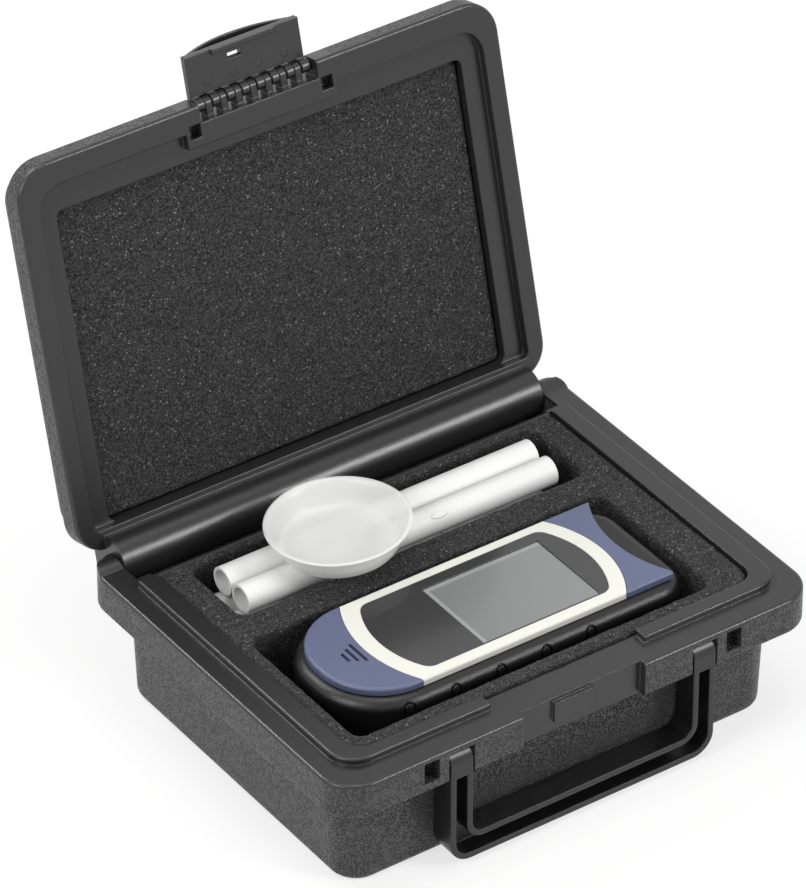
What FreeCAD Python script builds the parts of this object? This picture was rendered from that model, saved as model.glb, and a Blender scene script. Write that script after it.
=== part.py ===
"""Handheld breath tester kit in a moulded carry case, in millimetres, +Z up.

The case lies open: latch and handle face -Y, and the lid hinge is at +Y.
The origin is the middle of the underside.
"""

import math
import os

import FreeCAD
import Part

Vec = FreeCAD.Vector
X_AXIS = Vec(1, 0, 0)
Y_AXIS = Vec(0, 1, 0)
Z_AXIS = Vec(0, 0, 1)

# Case, overall
CASE_WIDTH = 200.0
CASE_DEPTH = 158.6
BASE_HEIGHT = 53.0
LID_HEIGHT = 32.0
BAND_HEIGHT = 14.0
LID_BAND_HEIGHT = 9.0
SIDE_INSET = 9.0
REAR_INSET = 8.0
DRAFT = 1.5
CORNER_RADIUS = 13.5
REAR_CORNER_RADIUS = 13.0
BODY_RADIUS = 12.0
BOTTOM_ROUND = 3.5
BAND_ROUND = 1.2
FLOOR = 3.0
LID_TOP_WALL = 3.0

# Rim: a raised lip on the base goes into a recess in the lid
RIM_SIDE = 8.2
RIM_FRONT = 10.0
LIP_SIDE = 7.5
LIP_FRONT = 5.6
LIP_HEIGHT = 2.5
LIP_RADIUS = 10.0
LIP_REAR_GAP = 22.6
LIP_GAP_HALF = 32.4
LIP_CLEAR = 0.9
RECESS_DEPTH = 3.4
CLOSE_GAP = 0.3
CAVITY_RADIUS = 7.0
LID_CAVITY_RADIUS = 3.0
CAVITY_REAR_GAP = 22.3
LID_LEDGE = 8.0
LID_FRONT_LEDGE = 11.0
LID_REAR_LEDGE = 20.8
BLOCK_GAP = 1.5

# Hinge
LID_OPEN = 104.3
HINGE_IN = 6.3
HINGE_DROP = 4.9
EAR_WIDTH = 10.0
EAR_RADIUS = 6.3
EAR_RISE = 2.0
EAR_SIDE_GAP = 0.4
BEAD_RADIUS = 9.2
BEAD_FORWARD = 3.1
BEAD_RISE = 3.3
TROUGH_CLEAR = 0.4
TROUGH_FLOOR = 2.5
LEDGE_ROLL = 1.6
PIN_RADIUS = 2.0
PIN_IN_LID = 16.0
PIN_COVER = 5.5
PIN_CLEAR = 0.1

# Latch on the lid and catch on the base
LATCH_WIDTH = 47.0
LATCH_PLATE = 2.6
LATCH_RISE = 5.7
LATCH_IN = 2.3
LATCH_BARREL = 2.6
LATCH_PIN_RADIUS = 1.0
LATCH_LUGS = 7
LATCH_LUG_PITCH = 6.2
LATCH_LUG_WIDTH = 2.6
LATCH_SLOT_GAP = 0.4
LATCH_NOTCH_DEPTH = 6.6
LATCH_NOTCH_SIDE = 1.0
LATCH_LIP_OUT = 6.0
LATCH_LIP_SIDE = 2.0
LATCH_LIP_THICK = 4.0
LATCH_LIP_WALL = 1.3
LATCH_LIP_HOLLOW = 3.0
LATCH_HOLE_LEFT = 6.5
LATCH_HOLE_RIGHT = 1.0
LATCH_HOLE_RISE = 3.6
LATCH_HOLE_HEIGHT = 2.2
LATCH_SOCKET = 5.0
LATCH_SOCKET_DEEP = 4.0
LATCH_FACE_GAP = 0.3
HOOK_PANEL_GAP = 0.4
HOOK_HEIGHT = 1.8
HOOK_GAP = 0.5
HOOK_HALF = 13.0
CATCH_DEPTH = 3.0
CATCH_DROP = 16.0
CATCH_TILE_OUT = 1.4
CATCH_TILE_TOP = 1.5
CATCH_TILE_BOTTOM = 9.6
CATCH_TILE_HALF = 8.2
CATCH_TILE_SHIFT = -3.3

# Handle
HANDLE_WIDTH = 111.0
HANDLE_LEG = 9.0
HANDLE_DEPTH = 10.0
HANDLE_FLOOR_GAP = 2.5
HANDLE_BACK_GAP = 0.6
HANDLE_CORNER = 8.5
HANDLE_INNER_CORNER = 5.0
HANDLE_BEAM = 10.0
HANDLE_WALL = 2.2
HANDLE_CHANNEL = 7.0
HANDLE_PIVOT_DROP = 8.0
HANDLE_GAP = 0.8
HANDLE_PIN_RADIUS = 2.0
HANDLE_PIN_GRIP = 3.0
NOTCH_ROOF = 2.2
SIDE_POCKET_GAP = 4.7
SIDE_POCKET_WIDTH = 6.3
SIDE_POCKET_TOP = 1.8
SIDE_POCKET_HEIGHT = 8.6
SIDE_POCKET_DEPTH = 5.0

# Foam
FOAM_FIT = 0.3
FOAM_PROUD = 1.5
TESTER_POCKET_GAP = 1.0
TESTER_POCKET_NEAR = 5.2
TESTER_POCKET_END = 3.5
DIVIDER = 13.0
SLOT_WIDTH = 33.0
SLOT_END = 7.0
LID_FOAM_FACE = 6.4
LID_FOAM_RELIEF = 4.0

# Tester
TESTER_LENGTH = 141.0
TESTER_WIDTH = 58.8
TESTER_HEIGHT = 31.0
TESTER_PROUD = 5.0
TESTER_SHIFT = -4.5
TESTER_Y = -22.9
PARTING = 21.0
SHOULDER = 28.0
SHOULDER_ROUND = 4.6
FAR_SLIM = 3.0
RIM_INSET = 5.0
SHELL_WALL = 2.0
SHELL_FLOOR = 2.6
TOP_WALL = 2.4
CAP_WALL = 1.6
NOSE_RADIUS = 28.0
TAIL_RADIUS = 12.0
SHELL_ROUND = 5.0
TOP_INSET = 4.2
TOP_ROUND = 1.2
TIP_RADIUS = 2.0
TAIL_SETBACK = 4.2
DOME_LENGTH = 17.0
BEZEL_LEFT = 40.5
BEZEL_RIGHT = 45.0
BEZEL_LEFT_SAG = 7.0
BEZEL_RIGHT_SAG = 8.0
SEAM = 0.2
SCOOP_RADIUS = 48.0
SCOOP_DEPTH = 8.0
WINDOW_LEFT = 41.0
WINDOW_RIGHT = 47.0
WINDOW_SAG = 6.5
WINDOW_HALF = 21.0
WINDOW_RADIUS = 5.0
WINDOW_THICK = 1.4
LCD_LENGTH = 49.0
LCD_WIDTH = 36.7
LCD_CENTRE = 12.7
LCD_SIDE = -1.9
LCD_BORDER = 2.0
LCD_BODY = 4.0
LCD_SUNK = 0.6
SPEAKER_RADIUS = 9.0
SPEAKER_THICK = 3.6
SPEAKER_X = -52.5
SPEAKER_SLOTS = (11.0, 8.0, 5.0)
SPEAKER_SLOT_WIDTH = 1.2
SPEAKER_SLOT_PITCH = 2.6
ARCH_COUNT = 5
ARCH_SHIFT = -10.7
ARCH_DROP = 1.6
ARCH_PITCH = 18.85
ARCH_RADIUS = 2.2
ARCH_LEG = 7.0
ARCH_GROOVE = 0.7
ARCH_DEPTH = 0.7
BOARD_LENGTH = 104.0
BOARD_WIDTH = 40.0
BOARD_THICK = 1.6
BOARD_SEAT = 17.6
BOSS_RADIUS = 2.8
SCREW_RADIUS = 1.0
SCREW_HEAD_RADIUS = 1.9
SCREW_HEAD = 1.2
SCREW_SUNK = 0.8
SCREW_BITE = 2.0
BOARD_BOSS_X = 46.0
BOARD_BOSS_Y = 16.5
SHELL_BOSS_FRONT = 55.5
SHELL_BOSS_REAR = 56.0
SHELL_BOSS_FRONT_Y = 15.4
SHELL_BOSS_REAR_Y = 20.5
BATTERY_RADIUS = 7.1
BATTERY_LENGTH = 50.2
BATTERY_X = -8.0
BATTERY_GAP = 0.4
CONTACT_THICK = 0.5
SPRING_LENGTH = 4.0
SPRING_RADIUS = 3.0
COVER_THICK = 1.3
COVER_LEDGE = 5.0
COVER_LENGTH = 74.0
COVER_WIDTH = 40.0
COVER_CLEAR = 0.2
CELL_RADIUS = 9.0
CELL_HEIGHT = 9.0
CELL_X = 34.0
CELL_Y = -9.0
PUMP_RADIUS = 5.5
PUMP_LENGTH = 17.0
PUMP_Y = 10.0
INLET_BORE = 5.5
INLET_OUTER = 7.5
INLET_LENGTH = 10.0
INLET_HEIGHT = 12.0
BUTTON_RADIUS = 5.0
BUTTON_OUT = 0.9
BUTTON_CLEAR = 0.2
BUTTON_X = 28.0
BUTTON_FLANGE = 1.2

# Mouthpiece tubes and sampling cup
TUBE_RADIUS = 5.4
TUBE_WALL = 1.1
TUBE_LENGTH = 131.5
TUBE_SIDE_GAP = 1.2
TUBE_GAP = 0.3
TUBE_AXIS_DROP = 1.0
TUBE_BACK_GAP = 4.8
TUBE_END_STEPS = (0.0, -0.4, -4.0, -5.0)
CUP_RIM_RADIUS = 25.2
CUP_BASE_RADIUS = 21.0
CUP_DEPTH = 10.4
CUP_WALL = 1.3
CUP_FLOOR = 1.5
CUP_RIM_BEAD = 1.0
CUP_TILT = 4.0
CUP_TILT_TOWARD = (-0.819, 0.574)
CUP_X = -25.5
CUP_FORWARD = 7.4
CUP_SEAT_GAP = 0.3

# Places worked out from the sizes above
HALF_W = CASE_WIDTH / 2
HALF_D = CASE_DEPTH / 2
RIM_Z = BASE_HEIGHT
BAND_Z = RIM_Z - BAND_HEIGHT
FRONT_Y = -HALF_D
FRONT_INSET = HANDLE_DEPTH + HANDLE_BACK_GAP
REAR_Y = HALF_D
HINGE_Y = REAR_Y - HINGE_IN
HINGE_Z = RIM_Z - HINGE_DROP
HINGE_POINT = Vec(0, HINGE_Y, HINGE_Z)
EAR_X = HALF_W - EAR_WIDTH
BEAD_Y = HINGE_Y - BEAD_FORWARD
BEAD_Z = HINGE_Z + BEAD_RISE
BEAD_SWING = FreeCAD.Rotation(X_AXIS, -LID_OPEN)
OPEN_BEAD = HINGE_POINT + BEAD_SWING.multVec(Vec(0, -BEAD_FORWARD, BEAD_RISE))
LID_REAR_Y = HINGE_Y - EAR_RADIUS - EAR_SIDE_GAP
LIP_X = HALF_W - RIM_SIDE
LIP_Y = FRONT_Y + RIM_FRONT
CAVITY_X = LIP_X - LIP_SIDE
CAVITY_FRONT = LIP_Y + LIP_FRONT
CAVITY_REAR = REAR_Y - CAVITY_REAR_GAP
LID_FACE_Z = RIM_Z + CLOSE_GAP
LID_TOP_Z = RIM_Z + LID_HEIGHT
LID_CAVITY_X = LIP_X + LIP_CLEAR - LID_LEDGE
LID_CAVITY_FRONT = LIP_Y - LIP_CLEAR + LID_FRONT_LEDGE
LID_CAVITY_REAR = REAR_Y - LID_REAR_LEDGE
LATCH_Y = FRONT_Y + LATCH_IN
LATCH_Z = RIM_Z + LATCH_RISE
LATCH_POINT = Vec(0, LATCH_Y, LATCH_Z)
LATCH_LENGTH = LATCH_RISE + CATCH_TILE_BOTTOM + HOOK_GAP + HOOK_HEIGHT
CATCH_Y = FRONT_Y + CATCH_DEPTH
HANDLE_PIVOT_Y = FRONT_Y + HANDLE_DEPTH / 2
HANDLE_PIVOT_Z = RIM_Z - HANDLE_PIVOT_DROP
HANDLE_X = HANDLE_WIDTH / 2
TESTER_TOP_Z = RIM_Z + TESTER_PROUD
TESTER_Z = TESTER_TOP_Z - TESTER_HEIGHT
TESTER_PLACE = Vec(TESTER_SHIFT, TESTER_Y, TESTER_Z)
FOAM_TOP = RIM_Z + FOAM_PROUD
POCKET_FRONT = TESTER_Y - TESTER_WIDTH / 2 - TESTER_POCKET_NEAR
POCKET_REAR = TESTER_Y + TESTER_WIDTH / 2 + TESTER_POCKET_GAP
SLOT_FRONT = POCKET_REAR + DIVIDER
SLOT_REAR = SLOT_FRONT + SLOT_WIDTH
TUBE_UPPER_Z = RIM_Z - TUBE_AXIS_DROP
TUBE_LOWER_Z = TUBE_UPPER_Z - 2 * TUBE_RADIUS - TUBE_GAP
TUBE_REAR_Y = SLOT_REAR - TUBE_BACK_GAP - TUBE_RADIUS
TUBE_FRONT_Y = TUBE_REAR_Y - 2 * TUBE_RADIUS - TUBE_SIDE_GAP
TUBE_BORE = TUBE_RADIUS - TUBE_WALL
SLOT_FLOOR = TUBE_LOWER_Z - TUBE_RADIUS - FOAM_FIT
CUP_Y = (TUBE_REAR_Y + TUBE_FRONT_Y) / 2 - CUP_FORWARD
CUP_Z = TUBE_UPPER_Z + TUBE_RADIUS + CUP_SEAT_GAP
TOP_Z = TESTER_HEIGHT - TOP_WALL


def box(x0, x1, y0, y1, z0, z1):
    return Part.makeBox(x1 - x0, y1 - y0, z1 - z0, Vec(x0, y0, z0))


def rod_x(x0, x1, y, z, radius):
    return Part.makeCylinder(radius, x1 - x0, Vec(x0, y, z), X_AXIS)


def rod_y(x, y0, y1, z, radius):
    return Part.makeCylinder(radius, y1 - y0, Vec(x, y0, z), Y_AXIS)


def rod_z(x, y, z0, z1, radius):
    return Part.makeCylinder(radius, z1 - z0, Vec(x, y, z0), Z_AXIS)


def corner_arc(cx, cy, radius, start, z):
    circle = Part.Circle(Vec(cx, cy, z), Z_AXIS, radius)
    quarter = math.pi / 2
    return Part.Arc(circle, start * quarter, (start + 1) * quarter).toShape()


def round_wire(x0, x1, y0, y1, radii, z):
    """Rounded rectangle; radii run from the +X +Y corner anticlockwise."""
    a, b, c, d = radii
    edges = [
        corner_arc(x1 - a, y1 - a, a, 0, z),
        Part.makeLine(Vec(x1 - a, y1, z), Vec(x0 + b, y1, z)),
        corner_arc(x0 + b, y1 - b, b, 1, z),
        Part.makeLine(Vec(x0, y1 - b, z), Vec(x0, y0 + c, z)),
        corner_arc(x0 + c, y0 + c, c, 2, z),
        Part.makeLine(Vec(x0 + c, y0, z), Vec(x1 - d, y0, z)),
        corner_arc(x1 - d, y0 + d, d, 3, z),
        Part.makeLine(Vec(x1, y0 + d, z), Vec(x1, y1 - a, z)),
    ]
    return Part.Wire(edges)


def round_prism(x0, x1, y0, y1, radii, z0, z1):
    face = Part.Face(round_wire(x0, x1, y0, y1, radii, z0))
    return face.extrude(Vec(0, 0, z1 - z0))


def drafted(x, y0, y1, radius, z_wide, z_narrow):
    """Tapered rounded block, narrower by DRAFT at z_narrow."""
    wide = round_wire(-x, x, y0, y1, [radius] * 4, z_wide)
    tight = [radius - DRAFT] * 4
    narrow = round_wire(-x + DRAFT, x - DRAFT, y0 + DRAFT, y1 - DRAFT, tight, z_narrow)
    return Part.makeLoft([narrow, wide], True, True)


def edges_at_z(shape, z):
    flat = [e for e in shape.Edges if e.BoundBox.ZLength < 1e-4]
    return [e for e in flat if abs(e.BoundBox.ZMin - z) < 1e-4]


def open_lid(shape):
    shape.rotate(HINGE_POINT, X_AXIS, -LID_OPEN)
    return shape


def place_in_tester(shape):
    shape.translate(TESTER_PLACE)
    return shape


# Case base


def base_body():
    y0 = FRONT_Y + FRONT_INSET
    y1 = REAR_Y - REAR_INSET
    body = drafted(HALF_W - SIDE_INSET, y0, y1, BODY_RADIUS, BAND_Z + 1, 0)
    return body.makeFillet(BOTTOM_ROUND, edges_at_z(body, 0))


def band_outline(z0, z1):
    radii = [REAR_CORNER_RADIUS, REAR_CORNER_RADIUS, CORNER_RADIUS, CORNER_RADIUS]
    return round_prism(-HALF_W, HALF_W, FRONT_Y, REAR_Y, radii, z0, z1)


def base_band():
    band = band_outline(BAND_Z, RIM_Z)
    return band.makeFillet(BAND_ROUND, edges_at_z(band, BAND_Z) + edges_at_z(band, RIM_Z))


def base_lip():
    rear = REAR_Y - LIP_REAR_GAP
    radii = [0.5, 0.5, LIP_RADIUS, LIP_RADIUS]
    lip = round_prism(-LIP_X, LIP_X, LIP_Y, rear, radii, RIM_Z - 1, RIM_Z + LIP_HEIGHT)
    lip = lip.makeFillet(0.8, edges_at_z(lip, RIM_Z + LIP_HEIGHT))
    gap = box(-LIP_GAP_HALF, LIP_GAP_HALF, LIP_Y - 1, CAVITY_FRONT + 1, RIM_Z, RIM_Z + LIP_HEIGHT + 1)
    return lip.cut(gap)


def base_cavity():
    radii = [2.0, 2.0, CAVITY_RADIUS, CAVITY_RADIUS]
    return round_prism(-CAVITY_X, CAVITY_X, CAVITY_FRONT, CAVITY_REAR, radii, FLOOR, RIM_Z + 20)


def hinge_ear(side):
    x0 = min(side * EAR_X, side * HALF_W)
    ear = rod_x(x0, x0 + EAR_WIDTH, HINGE_Y, HINGE_Z, EAR_RADIUS)
    cheek = box(x0, x0 + EAR_WIDTH, HINGE_Y - EAR_RADIUS, HINGE_Y, HINGE_Z, HINGE_Z + HINGE_DROP + EAR_RISE)
    reach = rod_x(x0, x0 + EAR_WIDTH, HINGE_Y, HINGE_Z, HINGE_DROP + EAR_RISE)
    ear = ear.fuse(cheek.common(reach))
    return ear.common(band_outline(0, 2 * RIM_Z))


def handle_notch(side):
    half = HANDLE_LEG / 2 + HANDLE_GAP
    mid = side * (HANDLE_X - HANDLE_LEG / 2)
    back = FRONT_Y + FRONT_INSET
    return box(mid - half, mid + half, FRONT_Y - 1, back, BAND_Z - 1, RIM_Z - NOTCH_ROOF)


def side_pocket(side):
    """Square core hole in the band, outside each handle leg."""
    x0 = HANDLE_X + SIDE_POCKET_GAP
    low = x0 if side > 0 else -x0 - SIDE_POCKET_WIDTH
    top = RIM_Z - SIDE_POCKET_TOP
    back = FRONT_Y + SIDE_POCKET_DEPTH
    return box(low, low + SIDE_POCKET_WIDTH, FRONT_Y - 1, back, top - SIDE_POCKET_HEIGHT, top)


def hinge_trough():
    """Room for the lid's bead as it swings from shut to open."""
    radius = BEAD_RADIUS + TROUGH_CLEAR
    shut = rod_x(-EAR_X, EAR_X, BEAD_Y, BEAD_Z, radius)
    swung = rod_x(-EAR_X, EAR_X, OPEN_BEAD.y, OPEN_BEAD.z, radius)
    low = min(BEAD_Z, OPEN_BEAD.z) - radius
    middle = box(-EAR_X, EAR_X, BEAD_Y, OPEN_BEAD.y, low, 2 * RIM_Z)
    rear = box(-EAR_X, EAR_X, HINGE_Y + TROUGH_FLOOR, REAR_Y + 1, BAND_Z - 1, 2 * RIM_Z)
    return shut.fuse(swung).fuse(middle).fuse(rear)


def ledge_corners():
    """Cut from the ledge in front of the trough, so that its top is a half round."""
    y0 = CAVITY_REAR
    y1 = y0 + 2 * LEDGE_ROLL
    z = RIM_Z - LEDGE_ROLL
    block = box(-CAVITY_X, CAVITY_X, y0 - 1, y1 + 1, z, RIM_Z + 1)
    return block.cut(rod_x(-CAVITY_X, CAVITY_X, y0 + LEDGE_ROLL, z, LEDGE_ROLL))


def handle_pin_hole(side):
    half = HANDLE_LEG / 2 + HANDLE_GAP + HANDLE_PIN_GRIP
    mid = side * (HANDLE_X - HANDLE_LEG / 2)
    return rod_x(mid - half, mid + half, HANDLE_PIVOT_Y, HANDLE_PIVOT_Z, HANDLE_PIN_RADIUS)


def catch_panel():
    half = LATCH_WIDTH / 2 + LATCH_NOTCH_SIDE + 1
    panel = box(-half, half, FRONT_Y - 1, CATCH_Y, RIM_Z - CATCH_DROP, RIM_Z + 1)
    tile = box(
        CATCH_TILE_SHIFT - CATCH_TILE_HALF, CATCH_TILE_SHIFT + CATCH_TILE_HALF,
        CATCH_Y - CATCH_TILE_OUT, CATCH_Y, RIM_Z - CATCH_TILE_BOTTOM, RIM_Z - CATCH_TILE_TOP,
    )
    return panel.cut(tile)


def case_base():
    shape = base_body().fuse(base_band()).fuse(base_lip())
    shape = shape.cut(base_cavity())
    shape = shape.cut(hinge_trough()).cut(ledge_corners())
    shape = shape.fuse(hinge_ear(-1)).fuse(hinge_ear(1))
    for side in (-1, 1):
        shape = shape.cut(handle_notch(side))
        shape = shape.cut(side_pocket(side))
        shape = shape.cut(handle_pin_hole(side))
        shape = shape.cut(hinge_pin(side))
    shape = shape.cut(catch_panel())
    return shape.removeSplitter()


def hinge_pin(side):
    x0 = EAR_X - PIN_IN_LID
    x1 = HALF_W - PIN_COVER
    low = x0 if side > 0 else -x1
    return rod_x(low, low + x1 - x0, HINGE_Y, HINGE_Z, PIN_RADIUS)


def hinge_pins():
    return Part.makeCompound([hinge_pin(-1), hinge_pin(1)])


# Lid, drawn shut and then swung open


def lid_body():
    y0 = FRONT_Y + FRONT_INSET
    y1 = REAR_Y - REAR_INSET
    low = LID_FACE_Z + LID_BAND_HEIGHT - 1
    body = drafted(HALF_W - SIDE_INSET, y0, y1, BODY_RADIUS, low, LID_TOP_Z)
    return body.makeFillet(BOTTOM_ROUND, edges_at_z(body, LID_TOP_Z))


def lid_band():
    radii = [BODY_RADIUS, BODY_RADIUS, CORNER_RADIUS, CORNER_RADIUS]
    top = LID_FACE_Z + LID_BAND_HEIGHT
    band = round_prism(-HALF_W, HALF_W, FRONT_Y, LID_REAR_Y, radii, LID_FACE_Z, top)
    return band.makeFillet(BAND_ROUND, edges_at_z(band, LID_FACE_Z) + edges_at_z(band, top))


def lid_hinge_block():
    x = EAR_X - EAR_SIDE_GAP
    block = box(-x, x, LID_REAR_Y - 5, BEAD_Y + BEAD_RADIUS, BEAD_Z, LID_FACE_Z + LID_BAND_HEIGHT)
    bead = rod_x(-x, x, BEAD_Y, BEAD_Z, BEAD_RADIUS)
    return block.fuse(bead)


def lid_recess():
    x = LIP_X + LIP_CLEAR
    radii = [2.0, 2.0, LIP_RADIUS + LIP_CLEAR, LIP_RADIUS + LIP_CLEAR]
    rear = LID_CAVITY_REAR
    recess = round_prism(-x, x, LIP_Y - LIP_CLEAR, rear, radii, LID_FACE_Z - 1, LID_FACE_Z + RECESS_DEPTH)
    half = LIP_GAP_HALF - BLOCK_GAP
    back = CAVITY_FRONT - BLOCK_GAP / 2
    return recess.cut(box(-half, half, FRONT_Y, back, LID_FACE_Z - 2, LID_FACE_Z + RECESS_DEPTH + 1))


def latch_socket(side):
    """Square core hole beside the latch, from the moulding."""
    mid = side * (LATCH_WIDTH / 2 + LATCH_NOTCH_SIDE + LATCH_SOCKET / 2 + 0.5)
    half = LATCH_SOCKET / 2
    y0 = FRONT_Y + LATCH_NOTCH_DEPTH
    top = LID_FACE_Z + LATCH_SOCKET_DEEP
    return box(mid - half, mid + half, y0, y0 + LATCH_SOCKET, LID_FACE_Z - 1, top)


def lid_cavity():
    radii = [LID_CAVITY_RADIUS] * 4
    top = LID_TOP_Z - LID_TOP_WALL
    return round_prism(
        -LID_CAVITY_X, LID_CAVITY_X, LID_CAVITY_FRONT, LID_CAVITY_REAR, radii, LID_FACE_Z, top
    )


def lug_places():
    middle = (LATCH_LUGS - 1) / 2
    return [(i - middle) * LATCH_LUG_PITCH for i in range(LATCH_LUGS)]


def latch_notch():
    half = LATCH_WIDTH / 2 + LATCH_NOTCH_SIDE
    back = FRONT_Y + LATCH_NOTCH_DEPTH
    return box(-half, half, FRONT_Y - 1, back, LID_FACE_Z - 1, LID_FACE_Z + LID_BAND_HEIGHT + 1)


def lid_lug(x):
    half = LATCH_LUG_WIDTH / 2
    back = FRONT_Y + LATCH_NOTCH_DEPTH
    reach = LATCH_BARREL - 0.4
    web = box(x - half, x + half, LATCH_Y, back + 1, LATCH_Z - reach, LATCH_Z + reach)
    return web.fuse(rod_x(x - half, x + half, LATCH_Y, LATCH_Z, reach))


def latch_pin():
    half = LATCH_WIDTH / 2 - 1
    return open_lid(rod_x(-half, half, LATCH_Y, LATCH_Z, LATCH_PIN_RADIUS))


def case_lid():
    shape = lid_body().fuse(lid_band()).fuse(lid_hinge_block())
    shape = shape.cut(lid_recess()).cut(lid_cavity()).cut(latch_notch())
    shape = shape.cut(latch_socket(-1)).cut(latch_socket(1))
    for x in lug_places():
        shape = shape.fuse(lid_lug(x))
    half = LATCH_WIDTH / 2 - 1
    shape = shape.cut(rod_x(-half, half, LATCH_Y, LATCH_Z, LATCH_PIN_RADIUS))
    for side in (-1, 1):
        x0 = EAR_X - PIN_IN_LID - 1 if side > 0 else -EAR_X - 1
        shape = shape.cut(rod_x(x0, x0 + PIN_IN_LID + 2, HINGE_Y, HINGE_Z, PIN_RADIUS + PIN_CLEAR))
    return open_lid(shape.removeSplitter())


def latch():
    """Drawn hooked on the catch, then turned a quarter up to stand clear of it."""
    half = LATCH_WIDTH / 2
    plate_y = CATCH_Y - CATCH_TILE_OUT - LATCH_FACE_GAP
    bottom = LATCH_Z - LATCH_LENGTH
    barrel = rod_x(-half, half, LATCH_Y, LATCH_Z, LATCH_BARREL)
    plate = box(-half, half, plate_y - LATCH_PLATE, plate_y, bottom, LATCH_Z)
    hook_top = bottom + HOOK_HEIGHT
    hook = box(-HOOK_HALF, HOOK_HALF, plate_y, CATCH_Y - HOOK_PANEL_GAP, bottom, hook_top)
    shape = barrel.fuse(plate).fuse(hook).fuse(latch_finger_lip(plate_y, bottom))
    shape = shape.cut(latch_hole(plate_y, bottom))
    for x in lug_places():
        shape = shape.cut(lug_slot(x))
    shape = shape.cut(rod_x(-half - 1, half + 1, LATCH_Y, LATCH_Z, LATCH_PIN_RADIUS + PIN_CLEAR))
    shape = shape.removeSplitter()
    shape.rotate(LATCH_POINT, X_AXIS, -90)
    return open_lid(shape)


def lug_slot(x):
    """Room in the latch for one lug of the lid, from shut to open."""
    x0 = x - LATCH_LUG_WIDTH / 2 - LATCH_SLOT_GAP
    x1 = x + LATCH_LUG_WIDTH / 2 + LATCH_SLOT_GAP
    reach = LATCH_BARREL
    far = LATCH_BARREL + 1
    room = rod_x(x0, x1, LATCH_Y, LATCH_Z, reach)
    behind = box(x0, x1, LATCH_Y, LATCH_Y + far, LATCH_Z - reach, LATCH_Z + far)
    above = box(x0, x1, LATCH_Y - reach, LATCH_Y + far, LATCH_Z, LATCH_Z + far)
    return room.fuse(behind).fuse(above)


def latch_hole(plate_y, bottom):
    """Small core hole above the hook."""
    low = bottom + LATCH_HOLE_RISE
    front = plate_y - LATCH_PLATE - 1
    return box(-LATCH_HOLE_LEFT, -LATCH_HOLE_RIGHT, front, plate_y + 1, low, low + LATCH_HOLE_HEIGHT)


def latch_finger_lip(plate_y, bottom):
    """Hollow half-moon flange along the free edge, to pull the latch off its catch."""
    half = LATCH_WIDTH / 2 - LATCH_LIP_SIDE
    front = plate_y - LATCH_PLATE - LATCH_LIP_OUT
    radius = (half**2 + LATCH_LIP_OUT**2) / (2 * LATCH_LIP_OUT)
    top = bottom + LATCH_LIP_THICK
    disc = rod_z(0, front + radius, bottom, top, radius)
    lip = disc.common(box(-half, half, front, plate_y, bottom, top))
    inner = half - 2 * LATCH_LIP_WALL
    hollow = rod_z(0, front + radius, bottom - 1, bottom + LATCH_LIP_HOLLOW, radius - LATCH_LIP_WALL)
    return lip.cut(hollow.common(box(-inner, inner, front, plate_y - LATCH_PLATE, bottom - 1, top)))


# Handle


def handle_leg(side, inset, z0, y0):
    """One leg, shrunk all round by inset, from z0 up to its rounded top, starting at y0."""
    mid = side * (HANDLE_X - HANDLE_LEG / 2)
    half = HANDLE_LEG / 2 - inset
    y1 = FRONT_Y + HANDLE_DEPTH
    radius = HANDLE_DEPTH / 2
    leg = box(mid - half, mid + half, y0, y1, z0, HANDLE_PIVOT_Z)
    crown = rod_x(mid - half, mid + half, HANDLE_PIVOT_Y, HANDLE_PIVOT_Z, radius)
    return leg.fuse(crown.common(box(mid - half, mid + half, y0, y1, z0, RIM_Z)))


def handle_gusset(side, z):
    """Fills the inside corner between leg and beam to a round."""
    radius = HANDLE_INNER_CORNER
    y1 = FRONT_Y + HANDLE_DEPTH
    mid = side * (HANDLE_X - HANDLE_LEG - radius)
    x0 = min(mid, mid + side * (radius + 1))
    block = box(x0, x0 + radius + 1, FRONT_Y, y1, z - 1, z + radius)
    return block.cut(rod_y(mid, FRONT_Y - 1, y1 + 1, z + radius, radius))


def round_low_corners(shape, radius):
    """Rounds the two lowest corners of an upright block."""
    low = shape.BoundBox.ZMin
    corners = [e for e in shape.Edges if e.BoundBox.YLength > 1 and e.BoundBox.ZMax < low + 0.01]
    corners = [e for e in corners if e.BoundBox.XLength < 0.01]
    return shape.makeFillet(radius, corners)


def handle_channel():
    """Groove in the front of the handle, one even wall inside its edges."""
    z0 = HANDLE_FLOOR_GAP
    top = HANDLE_PIVOT_Z - HANDLE_DEPTH / 2 - 1
    back = FRONT_Y + HANDLE_CHANNEL
    x = HANDLE_X - HANDLE_WALL
    outer = box(-x, x, FRONT_Y - 1, back, z0 + HANDLE_WALL, top)
    outer = round_low_corners(outer, HANDLE_CORNER - HANDLE_WALL)
    x = HANDLE_X - HANDLE_LEG + HANDLE_WALL
    inner = box(-x, x, FRONT_Y - 2, back + 1, z0 + HANDLE_BEAM - HANDLE_WALL, top + 1)
    return outer.cut(round_low_corners(inner, HANDLE_INNER_CORNER + HANDLE_WALL))


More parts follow.
